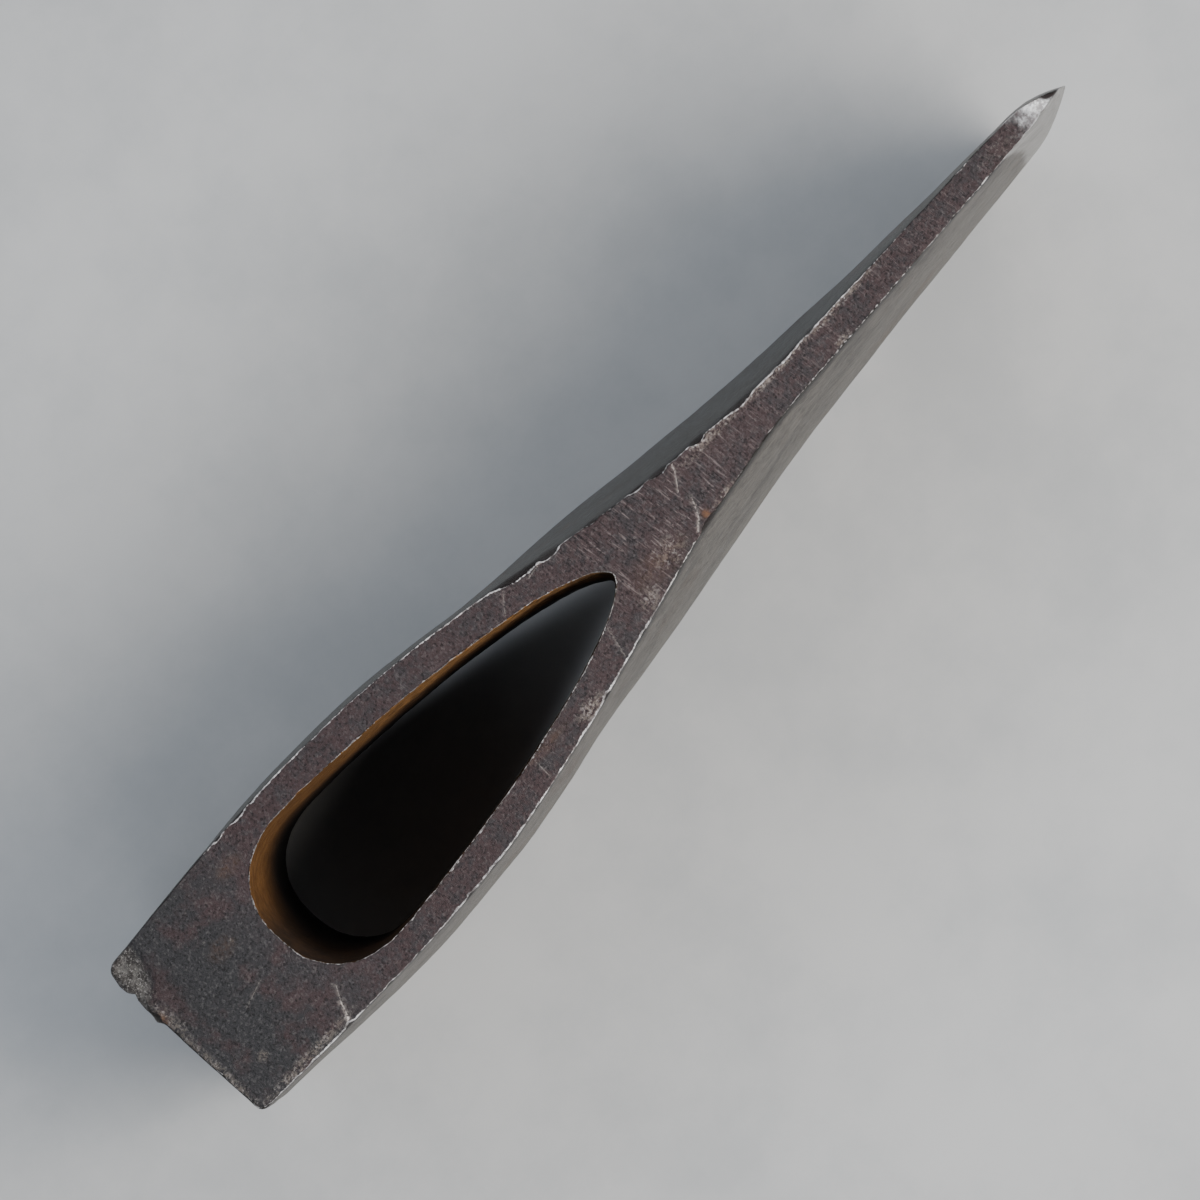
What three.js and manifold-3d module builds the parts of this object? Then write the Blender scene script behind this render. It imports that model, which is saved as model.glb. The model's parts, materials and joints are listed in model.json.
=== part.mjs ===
// Forged steel head of a single-bit felling axe, worn and patinated, without its haft.
// Lengths are millimetres, and +Z is up. The head is shaped in a frame of its own: x runs from the
// poll to the bit, z runs along the eye, and z = 0 is the flat top face. It is then tipped on to
// what it rests on, which is the lower edge of the poll and the heel of the bit.
import * as THREE from "three";
import { mergeVertices } from "three/addons/utils/BufferGeometryUtils.js";
import Module from "manifold-3d";

// The poll, the square back of the head
const POLL_WIDTH = 30.2;
const POLL_HEIGHT = 76;
const POLL_DEPTH = 20.1; // solid steel between the poll face and the eye
const POLL_CORNER = 1.2; // radius of the upright corners of the poll
const POLL_SWELL = 0.6; // how far each cheek stands out at mid height, at the poll

// The eye, a teardrop with its round end at the poll
const EYE_LENGTH = 70.4;
const EYE_WIDTH = 24;
const EYE_BACK = 13; // from its round end to its widest place
const EYE_WALL = 4.2; // steel beside its widest place, on the top face
const EYE_WALL_GAIN = 0.45; // how much more there is further forward
const EYE_WAIST = 0.5; // how much narrower it is at half its depth, on each side
const EYE_SWELL = 1.7; // how far each cheek stands out at mid height, beside the eye

// The blade, seen from the side
const HEAD_LENGTH = 189;
const TOE_RISE = 6; // the toe stands this far above the top face
const TOE_SWEEP = 72; // length over which it rises
const HEEL_DROP = 16; // the heel hangs this far below the poll
const HEEL_SWEEP = 80; // length over which it drops
const BIT_RADIUS = 205; // curve of the cutting edge
const TOE_RADIUS = 4.5;
const HEEL_RADIUS = 4.5;
const BLADE_LEAN = 0.8; // the toe leans this far to one side, and the heel to the other

// Half thicknesses of the blade, at distances behind the cutting edge: on its narrow top and
// bottom faces, and at mid height, where the cheeks are fullest
const WEB_BACK = 100;
const WEB_FACE = 8.4;
const WEB_MID = 12;
const NECK_BACK = 80;
const NECK_FACE = 4.6;
const NECK_MID = 9.1;
const BLADE_BACK = 62;
const BLADE_FACE = 2.65;
const BLADE_MID = 6.8;
const BIT_BACK = 36;
const BIT_FACE = 2.2;
const BIT_MID = 4.7;
const BEVEL_BACK = 9; // where the rounded grind of the edge begins
const BEVEL_FACE = 1.75;
const BEVEL_MID = 3;

// Fineness of the faceted surface
const CHEEK_ROWS = 18;
const CHEEK_STEP = 3.4;
const BEVEL_STEPS = 9;
const BEVEL_CROWDING = 1.5; // above 1, the rows crowd together near the edge
const POLL_COLUMNS = 6;
const CORNER_STEPS = 3;
const EYE_STEPS = 22; // on each quarter of the eye's outline
const EYE_ROWS = 6;
const EYE_OVERRUN = 2; // the cutting form runs this far past both faces

const STEEL = new THREE.MeshStandardMaterial({ color: 0x4a4244, roughness: 0.5, metalness: 0.85 });

const clamp01 = (v) => Math.min(1, Math.max(0, v));
const mix = (a, b, t) => a + (b - a) * t;
const smooth = (t) => t * t * (3 - 2 * t);

// A smooth curve through [place, value] pairs that makes no bumps of its own between them
function curveThrough(pairs) {
  const slopes = pairs.slice(1).map(([x, y], i) => (y - pairs[i][1]) / (x - pairs[i][0]));
  const tangents = pairs.map((_, i) => {
    const before = slopes[i - 1];
    const after = slopes[i];
    if (before === undefined || after === undefined) return before ?? after;
    return before * after <= 0 ? 0 : (2 * before * after) / (before + after);
  });
  return (x) => {
    let i = 0;
    while (i < pairs.length - 2 && x > pairs[i + 1][0]) i += 1;
    const span = pairs[i + 1][0] - pairs[i][0];
    const t = clamp01((x - pairs[i][0]) / span);
    const bend = t * (1 - t) * span;
    const ease = smooth(t);
    return (
      mix(pairs[i][1], pairs[i + 1][1], ease) +
      bend * ((1 - t) * tangents[i] - t * tangents[i + 1])
    );
  };
}

// How far an arc that leaves a straight line has moved off it after x, if it has moved rise at span
function arcOff(x, span, rise) {
  const radius = (span * span + rise * rise) / (2 * rise);
  const along = Math.max(0, x);
  return radius - Math.sqrt(radius * radius - along * along);
}

// The eye's half width at a place along the head: a long power curve forward of its widest place,
// and a short, fuller one behind it
const EYE_WIDEST = POLL_DEPTH + EYE_BACK;
const EYE_NOSE = POLL_DEPTH + EYE_LENGTH;
const NOSE_POWER = 1.5;
const NOSE_ROOT = 0.57;
const BACK_POWER = 2.4;
const BACK_ROOT = 0.45;
function eyeHalf(x) {
  const forward = x > EYE_WIDEST;
  const reach = forward ? EYE_NOSE - EYE_WIDEST : EYE_BACK;
  const share = clamp01(Math.abs(x - EYE_WIDEST) / reach);
  const power = forward ? NOSE_POWER : BACK_POWER;
  const root = forward ? NOSE_ROOT : BACK_ROOT;
  return (EYE_WIDTH / 2) * (1 - share ** power) ** root;
}

// Half thickness of the head at a station, on its narrow faces and at mid height. Beside the eye it
// is the eye's own outline and its wall, taken at these shares of the way to the eye's nose.
const EYE_SHARES = [0, 0.3, 0.5, 0.68];
const beside = (share) => {
  const at = mix(EYE_WIDEST, EYE_NOSE, share);
  const gain = EYE_WALL_GAIN * smooth(clamp01(share / EYE_SHARES[1]));
  return [at, eyeHalf(at) + EYE_WALL + gain];
};
const fromEdge = (back, half) => [HEAD_LENGTH - back, half];
const eyeSides = EYE_SHARES.map(beside);
const faceHalf = curveThrough([
  [0, POLL_WIDTH / 2],
  ...eyeSides,
  fromEdge(WEB_BACK, WEB_FACE),
  fromEdge(NECK_BACK, NECK_FACE),
  fromEdge(BLADE_BACK, BLADE_FACE),
  fromEdge(BIT_BACK, BIT_FACE),
  fromEdge(BEVEL_BACK, BEVEL_FACE),
]);
const midHalf = curveThrough([
  [0, POLL_WIDTH / 2 + POLL_SWELL],
  ...eyeSides.map(([at, half]) => [at, half + EYE_SWELL]),
  fromEdge(WEB_BACK, WEB_MID),
  fromEdge(NECK_BACK, NECK_MID),
  fromEdge(BLADE_BACK, BLADE_MID),
  fromEdge(BIT_BACK, BIT_MID),
  fromEdge(BEVEL_BACK, BEVEL_MID),
]);

// The side view: a straight top line that rises to the toe, an underside that sweeps down to the
// heel in one arc, a bowed cutting edge, and rounded corners at the toe and the heel
const BIT_TOP = TOE_RISE;
const BIT_FOOT = -POLL_HEIGHT - HEEL_DROP;
const BIT_MIDDLE = (BIT_TOP + BIT_FOOT) / 2;
const edgeAt = (z) =>
  HEAD_LENGTH - BIT_RADIUS + Math.sqrt(BIT_RADIUS ** 2 - (z - BIT_MIDDLE) ** 2);
const TOE_AT = edgeAt(BIT_TOP - TOE_RADIUS);
const HEEL_AT = edgeAt(BIT_FOOT + HEEL_RADIUS);
const topLine = (x) => arcOff(x - (TOE_AT - TOE_SWEEP), TOE_SWEEP, TOE_RISE);
const bottomLine = (x) =>
  -POLL_HEIGHT - arcOff(x - (HEEL_AT - HEEL_SWEEP), HEEL_SWEEP, HEEL_DROP);

// Rounding of a corner of the bit: how far the outline has turned in at x
function cornerTurn(x, cornerAt, radius) {
  const along = Math.min(radius, Math.max(0, x - (cornerAt - radius)));
  return radius - Math.sqrt(radius * radius - along * along);
}

// A point of the cheek: station 0 is the poll and HEAD_LENGTH the cutting edge, level 0 is the top
// and 1 the bottom, and side is 1 or -1
const CORNER_HOLD = 8; // how quickly a rounded corner dies out up or down the blade
function cheekPoint(station, level, side) {
  const follow = smooth(clamp01((station - EYE_NOSE) / (HEAD_LENGTH - EYE_NOSE)));
  const bitZ = mix(BIT_TOP - TOE_RADIUS, BIT_FOOT + HEEL_RADIUS, level);
  const guess = station - follow * (HEAD_LENGTH - edgeAt(bitZ));
  const z =
    mix(topLine(guess), bottomLine(guess), level) -
    cornerTurn(guess, TOE_AT, TOE_RADIUS) * (1 - level) ** CORNER_HOLD +
    cornerTurn(guess, HEEL_AT, HEEL_RADIUS) * level ** CORNER_HOLD;
  const x = guess + follow * (edgeAt(z) - edgeAt(bitZ));
  const fullness = 1 - (1 - 2 * level) ** 2;
  const bevel = 1 - (1 - clamp01((HEAD_LENGTH - station) / BEVEL_BACK)) ** 2;
  const half = mix(faceHalf(station), midHalf(station), fullness) * bevel;
  const corner = Math.min(POLL_CORNER, station);
  const round = POLL_CORNER - Math.sqrt(POLL_CORNER ** 2 - (POLL_CORNER - corner) ** 2);
  const lean = BLADE_LEAN * (1 - 2 * level) * clamp01((station - EYE_NOSE) / WEB_BACK) * bevel;
  return new THREE.Vector3(x, side * (half - round) + lean, z);
}

// Stations along a cheek, close together round the poll's corner and over the bevel
function stations() {
  const list = [];
  for (let i = 0; i <= CORNER_STEPS; i += 1) {
    list.push(POLL_CORNER * (1 - Math.cos((Math.PI / 2) * (i / CORNER_STEPS))));
  }
  const plain = HEAD_LENGTH - BEVEL_BACK - POLL_CORNER;
  const steps = Math.ceil(plain / CHEEK_STEP);
  for (let i = 1; i < steps; i += 1) list.push(POLL_CORNER + (plain * i) / steps);
  for (let i = 0; i < BEVEL_STEPS; i += 1) {
    list.push(HEAD_LENGTH - BEVEL_BACK * (1 - i / BEVEL_STEPS) ** BEVEL_CROWDING);
  }
  return list;
}

// A closed surface gathered from vertices and faces
function solidOf(wasm, points, faces) {
  const geometry = new THREE.BufferGeometry().setFromPoints(points);
  geometry.setIndex(faces.flat());
  return solidFrom(wasm, geometry);
}

function solidFrom(wasm, geometry) {
  const bare = geometry.clone();
  bare.deleteAttribute("normal");
  bare.deleteAttribute("uv");
  const merged = mergeVertices(bare, 1e-4);
  return new wasm.Manifold(
    new wasm.Mesh({
      numProp: 3,
      vertProperties: new Float32Array(merged.attributes.position.array),
      triVerts: new Uint32Array(merged.index.array),
    }),
  );
}

// The wall between loops that lie one below another, each with the same count of points
function wallFaces(loops, count) {
  const faces = [];
  for (let row = 0; row < loops - 1; row += 1) {
    const upper = row * count;
    const lower = upper + count;
    for (let i = 0; i < count; i += 1) {
      const j = (i + 1) % count;
      faces.push([upper + i, upper + j, lower + j], [upper + i, lower + j, lower + i]);
    }
  }
  return faces;
}

// The outer form, without the eye: one loop of points for each level, from the cutting edge back
// along one cheek, across the poll and forward along the other, with a strip to close each end
function outerForm(wasm) {
  const along = stations();
  const back = along.toReversed();
  const across = (level) => {
    const a = cheekPoint(0, level, 1);
    const b = cheekPoint(0, level, -1);
    const inner = Array.from({ length: POLL_COLUMNS - 1 }, (_, i) => (i + 1) / POLL_COLUMNS);
    return inner.map((t) => a.clone().lerp(b, t));
  };
  const loop = (level) => [
    cheekPoint(HEAD_LENGTH, level, 1),
    ...back.map((at) => cheekPoint(at, level, 1)),
    ...across(level),
    ...along.map((at) => cheekPoint(at, level, -1)),
  ];
  const loops = Array.from({ length: CHEEK_ROWS + 1 }, (_, row) => loop(row / CHEEK_ROWS));
  const count = loops[0].length;
  const faces = wallFaces(loops.length, count).map((face) => face.toReversed());
  // The narrow top and bottom faces: strips between the two sides of a loop
  for (const [first, flip] of [
    [0, false],
    [CHEEK_ROWS * count, true],
  ]) {
    for (let i = 0; i < (count - 1) / 2; i += 1) {
      const left = [first + i, first + i + 1];
      const right = [first + ((count - i) % count), first + count - i - 1];
      const pair = [
        [left[0], left[1], right[1]],
        [left[0], right[1], right[0]],
      ];
      for (const face of pair) {
        if (new Set(face).size === 3) faces.push(flip ? face.toReversed() : face);
      }
    }
  }
  return solidOf(wasm, loops.flat(), faces);
}

// The hole for the haft, a loft of the teardrop that is a little narrower half way down
function eyeHole(wasm) {
  const outline = (waist) => {
    const points = [];
    for (let i = 0; i < 4 * EYE_STEPS; i += 1) {
      const turn = ((2 * Math.PI) / (4 * EYE_STEPS)) * i;
      const [sine, cosine] = [Math.sin(turn), Math.cos(turn)];
      const forward = sine >= 0;
      const reach = (forward ? EYE_NOSE - EYE_WIDEST : EYE_BACK) - waist;
      const power = 2 / (forward ? NOSE_POWER : BACK_POWER);
      const root = 2 * (forward ? NOSE_ROOT : BACK_ROOT);
      const x = EYE_WIDEST + Math.sign(sine) * reach * Math.abs(sine) ** power;
      const y = Math.sign(cosine) * (EYE_WIDTH / 2 - waist) * Math.abs(cosine) ** root;
      points.push([x, y]);
    }
    return points;
  };
  const rows = [];
  for (let row = 0; row <= EYE_ROWS; row += 1) {
    const depth = row / EYE_ROWS;
    const waist = EYE_WAIST * (1 - (1 - 2 * depth) ** 2);
    rows.push({ waist, z: -POLL_HEIGHT * depth });
  }
  rows.unshift({ waist: 0, z: EYE_OVERRUN });
  rows.push({ waist: 0, z: -POLL_HEIGHT - EYE_OVERRUN });
  const points = rows.flatMap(({ waist, z }) =>
    outline(waist).map(([x, y]) => new THREE.Vector3(x, y, z)),
  );
  const count = 4 * EYE_STEPS;
  const faces = wallFaces(rows.length, count);
  const last = (rows.length - 1) * count;
  for (let i = 1; i < count - 1; i += 1) {
    faces.push([0, i + 1, i], [last, last + i, last + i + 1]);
  }
  return solidOf(wasm, points, faces);
}

// Damage. Each place where the edge of the top face has flaked is a faceted hollow whose centre
// lies on that edge: how far along the head it is, which side, its length, how far it reaches in
// over the face and how far down the cheek.
const FLAKES = [
  { at: 83, side: 1, length: 9, reach: 1.7, depth: 1.9 },
  { at: 106.5, side: 1, length: 3.4, reach: 0.8, depth: 1 },
  { at: 114, side: 1, length: 4.4, reach: 1, depth: 1 },
  { at: 122.5, side: 1, length: 6, reach: 0.9, depth: 0.8 },
  { at: 107, side: -1, length: 5.4, reach: 1.3, depth: 1.2 },
  { at: 77.4, side: -1, length: 2, reach: 0.7, depth: 0.8 },
  { at: 18.7, side: -1, length: 1.5, reach: 2.6, depth: 0.7 },
];
function flake(wasm, { at, side, length, reach, depth }) {
  const lump = new THREE.IcosahedronGeometry(1, 1);
  lump.scale(length / 2, reach, depth);
  const place = cheekPoint(at, 0, side);
  const ahead = cheekPoint(at + length / 2, 0, side);
  lump.rotateZ(Math.atan2(ahead.y - place.y, ahead.x - place.x));
  lump.translate(place.x, place.y, place.z);
  return solidFrom(wasm, lump);
}

// The battered upper corner of the poll: a crushed slope, and the lip of steel that the blows
// pushed out over the poll face
const CRUSH_LENGTH = 5.5;
const CRUSH_WIDTH = 9;
const CRUSH_DEPTH = 1.8;
const LIP_OUT = 0.9;
const LIP_CENTRE = 7.5; // from the middle of the poll
const LIP_WIDTH = 8;
const LIP_HEIGHT = 5;
const LIP_DROP = 3.2; // its centre is this far under the top face
function crushedCorner(wasm) {
  const lump = new THREE.IcosahedronGeometry(1, 2);
  lump.scale(CRUSH_LENGTH, CRUSH_WIDTH, CRUSH_DEPTH);
  lump.translate(0, POLL_WIDTH / 2, 0);
  return solidFrom(wasm, lump);
}
function pushedLip(wasm) {
  const lump = new THREE.IcosahedronGeometry(1, 2);
  lump.scale(LIP_OUT * 2, LIP_WIDTH / 2, LIP_HEIGHT / 2);
  lump.translate(LIP_OUT, LIP_CENTRE, -LIP_DROP);
  return solidFrom(wasm, lump);
}

const wasm = await Module();
wasm.setup();

let head = outerForm(wasm).subtract(eyeHole(wasm)).add(pushedLip(wasm)).subtract(crushedCorner(wasm));
for (const each of FLAKES) head = head.subtract(flake(wasm, each));

const { vertProperties, triVerts, numProp } = head.getMesh();
const geometry = new THREE.BufferGeometry();
geometry.setAttribute(
  "position",
  new THREE.InterleavedBufferAttribute(new THREE.InterleavedBuffer(vertProperties, numProp), 3, 0),
);
geometry.setIndex(new THREE.BufferAttribute(triVerts, 1));

const axeHead = new THREE.Mesh(geometry, STEEL);
axeHead.name = "axe_head";

// The head tips until a line under the poll's lower edge touches the heel
function restingTip() {
  const place = geometry.attributes.position;
  let tip = 0;
  for (let i = 0; i < place.count; i += 1) {
    const ahead = place.getX(i);
    if (ahead > EYE_NOSE) tip = Math.max(tip, Math.atan2(-POLL_HEIGHT - place.getZ(i), ahead));
  }
  return tip;
}

const tipped = new THREE.Group();
tipped.rotation.y = -restingTip();
tipped.add(axeHead);

const felling_axe_head = new THREE.Group();
felling_axe_head.add(tipped);
const reach = new THREE.Box3().setFromObject(tipped, true);
const middle = reach.getCenter(new THREE.Vector3());
tipped.position.set(-middle.x, -middle.y, -reach.min.z);

export default felling_axe_head;
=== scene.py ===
import json
import math

import bpy
import numpy as np
from mathutils import Matrix, Vector, noise
from mathutils.geometry import delaunay_2d_cdt


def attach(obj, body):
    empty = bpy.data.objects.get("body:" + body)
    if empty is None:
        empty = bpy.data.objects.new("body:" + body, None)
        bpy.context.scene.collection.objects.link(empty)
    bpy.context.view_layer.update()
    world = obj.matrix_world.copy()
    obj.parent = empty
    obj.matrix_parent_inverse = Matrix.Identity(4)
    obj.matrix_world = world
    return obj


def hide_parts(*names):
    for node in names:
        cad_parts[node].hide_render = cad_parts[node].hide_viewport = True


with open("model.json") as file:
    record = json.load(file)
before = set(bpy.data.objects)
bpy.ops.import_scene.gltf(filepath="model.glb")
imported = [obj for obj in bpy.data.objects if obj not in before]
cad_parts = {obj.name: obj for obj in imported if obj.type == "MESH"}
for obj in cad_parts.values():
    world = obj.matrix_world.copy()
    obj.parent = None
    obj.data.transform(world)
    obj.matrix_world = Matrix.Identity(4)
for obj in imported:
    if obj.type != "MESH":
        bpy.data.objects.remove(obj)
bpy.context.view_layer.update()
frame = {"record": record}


# The view
# The camera looks square on to the flat top face of the head, straight down the eye. The head is
# measured in a frame of its own: x from the poll to the bit, y across, z along the eye, and z = 0
# on the top face. The record's mounts say how that frame is tipped.
MM = 0.001
mounts = {mount["name"]: mount for mount in frame["record"]["mounts"]}
HEAD_X = -Vector(mounts["poll_face"]["axis"]).normalized()
HEAD_Z = Vector(mounts["top_face"]["axis"]).normalized()
HEAD_Y = HEAD_Z.cross(HEAD_X)
POLL_MIDDLE = -38  # the height of the poll face's mount in the head's own frame
HEAD_PLACE = Vector(mounts["poll_face"]["pos_m"]) - HEAD_Z * POLL_MIDDLE * MM


def place(x, y, z):
    """A point of the head's own frame, in millimetres, as a point of the scene."""
    return HEAD_PLACE + (HEAD_X * x + HEAD_Y * y + HEAD_Z * z) * MM


VIEW_X = 86.5  # the point of the top face in the middle of the picture
VIEW_Y = -1.1
VIEW_DISTANCE = 0.8
VIEW_WIDTH = 0.171  # the picture's width, measured at the top face
VIEW_LEAN = math.radians(1)
SENSOR = 36
TURN_ACROSS = (0.6765, -0.7368)  # the picture's right-hand direction along the head's x and y

right = HEAD_X * TURN_ACROSS[0] + HEAD_Y * TURN_ACROSS[1]
back = HEAD_Z * math.cos(VIEW_LEAN) - HEAD_Y * math.sin(VIEW_LEAN)
right = (right - back * right.dot(back)).normalized()
up = back.cross(right)
camera_data = bpy.data.cameras.new("camera")
camera_data.sensor_width = SENSOR
camera_data.lens = SENSOR * VIEW_DISTANCE / VIEW_WIDTH
camera_data.clip_start = 0.01
camera = bpy.data.objects.new("camera", camera_data)
turn = Matrix((right, up, back)).transposed().to_4x4()
camera.matrix_world = Matrix.Translation(place(VIEW_X, VIEW_Y, 0) + back * VIEW_DISTANCE) @ turn
bpy.context.scene.collection.objects.link(camera)
bpy.context.scene.camera = camera


# The floor
# A plain pale painted board, a little uneven in tone, that the head rests on. Its material, like
# the steel's, is joined up from nodes by short helpers. A pattern reads Object coordinates, which
# are metres, so a noise with grains of one millimetre has a scale of 1000.
class Finish:
    """One material and the nodes in it."""

    def __init__(self, name, **surface):
        self.material = bpy.data.materials.new(name)
        self.material.use_nodes = True
        self.tree = self.material.node_tree
        self.shader = self.tree.nodes["Principled BSDF"]
        for socket, value in surface.items():
            self.shader.inputs[socket.replace("_", " ")].default_value = value
        self.coordinates = self.tree.nodes.new("ShaderNodeTexCoord").outputs["Object"]

    def put(self, socket, value):
        """Joins a value to a socket, or sets it there."""
        if isinstance(value, bpy.types.NodeSocket):
            self.tree.links.new(value, socket)
        else:
            socket.default_value = value

    def attribute(self, name):
        node = self.tree.nodes.new("ShaderNodeAttribute")
        node.attribute_name = name
        return node.outputs["Fac"]

    def grain(self, size, detail=3, rough=0.6, stretch=(1, 1, 1), turn=(0, 0, 0), warp=0):
        """Noise whose grains are size millimetres across, drawn out along its axes, which turn."""
        mapping = self.tree.nodes.new("ShaderNodeMapping")
        mapping.vector_type = "TEXTURE"
        mapping.inputs["Rotation"].default_value = turn
        mapping.inputs["Scale"].default_value = stretch
        self.put(mapping.inputs["Vector"], self.coordinates)
        node = self.tree.nodes.new("ShaderNodeTexNoise")
        node.inputs["Scale"].default_value = 1 / (size * MM)
        node.inputs["Detail"].default_value = detail
        node.inputs["Roughness"].default_value = rough
        node.inputs["Distortion"].default_value = warp
        self.put(node.inputs["Vector"], mapping.outputs["Vector"])
        return node.outputs["Fac"]

    def grit(self, size):
        """A random value for each of many small cells, as on a sandy surface."""
        node = self.tree.nodes.new("ShaderNodeTexVoronoi")
        node.inputs["Scale"].default_value = 1 / (size * MM)
        self.put(node.inputs["Vector"], self.coordinates)
        return node.outputs["Color"]

    def sum(self, operation, first, second):
        node = self.tree.nodes.new("ShaderNodeMath")
        node.operation = operation
        self.put(node.inputs[0], first)
        self.put(node.inputs[1], second)
        return node.outputs[0]

    def times(self, first, second):
        return self.sum("MULTIPLY", first, second)

    def plus(self, first, second):
        return self.sum("ADD", first, second)

    def band(self, value, low, high, start=0, end=1):
        """start below low, end above high, and a smooth change between them."""
        node = self.tree.nodes.new("ShaderNodeMapRange")
        node.interpolation_type = "SMOOTHSTEP"
        self.put(node.inputs["Value"], value)
        node.inputs["From Min"].default_value = low
        node.inputs["From Max"].default_value = high
        node.inputs["To Min"].default_value = start
        node.inputs["To Max"].default_value = end
        return node.outputs["Result"]

    def over(self, share, below, above):
        """The colour above, laid over the colour below by its share."""
        node = self.tree.nodes.new("ShaderNodeMix")
        node.data_type = "RGBA"
        self.put(node.inputs["Factor"], share)
        for socket, colour in ((node.inputs["A"], below), (node.inputs["B"], above)):
            self.put(socket, (*colour, 1) if isinstance(colour, tuple) else colour)
        return node.outputs["Result"]

    def blend(self, share, below, above):
        """A number between two others."""
        node = self.tree.nodes.new("ShaderNodeMix")
        self.put(node.inputs["Factor"], share)
        self.put(node.inputs["A"], below)
        self.put(node.inputs["B"], above)
        return node.outputs["Result"]

    def relief(self, height):
        """Bumps whose height is in millimetres."""
        node = self.tree.nodes.new("ShaderNodeBump")
        node.inputs["Distance"].default_value = MM
        self.put(node.inputs["Height"], height)
        self.put(self.shader.inputs["Normal"], node.outputs["Normal"])


FLOOR_REACH = 4
FLOOR_PALE = (0.48, 0.467, 0.442)
FLOOR_DARK = (0.4, 0.395, 0.38)

bpy.ops.mesh.primitive_plane_add(size=FLOOR_REACH)
floor = bpy.context.object
floor.name = "floor"
board = Finish("pale_board", Roughness=0.75)
blotches = board.band(board.grain(45, detail=7, rough=0.65), 0.35, 0.7)
board.put(board.shader.inputs["Base Color"], board.over(blotches, FLOOR_PALE, FLOOR_DARK))
floor.data.materials.append(board.material)


# The light
# One soft light stands to the right of the picture. A bluish sky fills the shadows from every side,
# but little of it comes from straight above, where the camera stands, or from close to the floor.
KEY_SIZE = 0.36
KEY_POWER = 4.6
KEY_FROM = (0.5, -0.72, 1.52)  # along the head's x, across it and up
KEY_DISTANCE = 0.7
KEY_COLOUR = (1, 0.965, 0.92)
SKY_COLOUR = (0.66, 0.73, 0.84)
SKY_STRENGTH = 4.9
SKY_LOW = 0.002  # the sky's share of that strength beside the floor, and straight above
SKY_ABOVE = 0.02
SKY_HEIGHTS = ((0.54, 0.78), (0.73, 0.92))  # where it changes, as the height of a unit vector

key_data = bpy.data.lights.new("key", "AREA")
key_data.shape = "DISK"
key_data.size = KEY_SIZE
key_data.energy = KEY_POWER
key_data.color = KEY_COLOUR
key = bpy.data.objects.new("key", key_data)
key_way = Vector(KEY_FROM).normalized()
key.location = key_way * KEY_DISTANCE
key.rotation_euler = key_way.to_track_quat("Z", "Y").to_euler()
key.visible_camera = False
bpy.context.scene.collection.objects.link(key)

sky = bpy.data.worlds.new("sky")
sky.use_nodes = True
sky_nodes, sky_links = sky.node_tree.nodes, sky.node_tree.links
background = sky_nodes["Background"]
background.inputs["Color"].default_value = (*SKY_COLOUR, 1)
way_up = sky_nodes.new("ShaderNodeSeparateXYZ")
sky_links.new(sky_nodes.new("ShaderNodeTexCoord").outputs["Generated"], way_up.inputs["Vector"])
strength = sky_nodes.new("ShaderNodeMath")
strength.operation = "MULTIPLY"
for (start, end), (below, above), socket in zip(
    SKY_HEIGHTS, ((SKY_LOW * SKY_STRENGTH, SKY_STRENGTH), (1, SKY_ABOVE)), strength.inputs
):
    change = sky_nodes.new("ShaderNodeMapRange")
    change.interpolation_type = "SMOOTHSTEP"
    change.inputs["From Min"].default_value = start
    change.inputs["From Max"].default_value = end
    change.inputs["To Min"].default_value = below
    change.inputs["To Max"].default_value = above
    sky_links.new(way_up.outputs["Z"], change.inputs["Value"])
    sky_links.new(change.outputs["Result"], socket)
sky_links.new(strength.outputs[0], background.inputs["Strength"])
bpy.context.scene.world = sky


# The axe head
# One piece of forged steel: a square poll, a teardrop eye for the haft, and a blade that flares to
# a bowed edge. It was forged, ground across its narrow faces, and hardened and honed at the bit.
# Years of use left a dark skin, worn bright edges, flakes and a battered corner of the poll.
POLL_WIDTH = 30.2
POLL_HEIGHT = 76
POLL_DEPTH = 20.1
POLL_CORNER = 1.2
POLL_SWELL = 0.6
EYE_LENGTH = 70.4
EYE_WIDTH = 24
EYE_BACK = 13
EYE_WALL = 4.2
EYE_WALL_GAIN = 0.45
EYE_WAIST = 0.5
EYE_SWELL = 1.7
HEAD_LENGTH = 189
TOE_RISE = 6
TOE_SWEEP = 72
HEEL_DROP = 16
HEEL_SWEEP = 80
BIT_RADIUS = 205
TOE_RADIUS = 4.5
HEEL_RADIUS = 4.5
BLADE_LEAN = 0.8
BLADE_STATIONS = {  # distance behind the edge: half thickness on the narrow faces, at mid height
    100: (8.4, 12),
    80: (4.6, 9.1),
    62: (2.65, 6.8),
    36: (2.2, 4.7),
    9: (1.75, 3),
}
BEVEL_BACK = min(BLADE_STATIONS)
WEB_BACK = max(BLADE_STATIONS)
EYE_SHARES = (0, 0.3, 0.5, 0.68)
CORNER_HOLD = 8

EYE_WIDEST = POLL_DEPTH + EYE_BACK
EYE_NOSE = POLL_DEPTH + EYE_LENGTH
NOSE_POWER = 1.5
NOSE_ROOT = 0.57
BACK_POWER = 2.4
BACK_ROOT = 0.45


def mix(a, b, share):
    return a + (b - a) * share


def smooth(share):
    return share * share * (3 - 2 * share)


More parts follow.
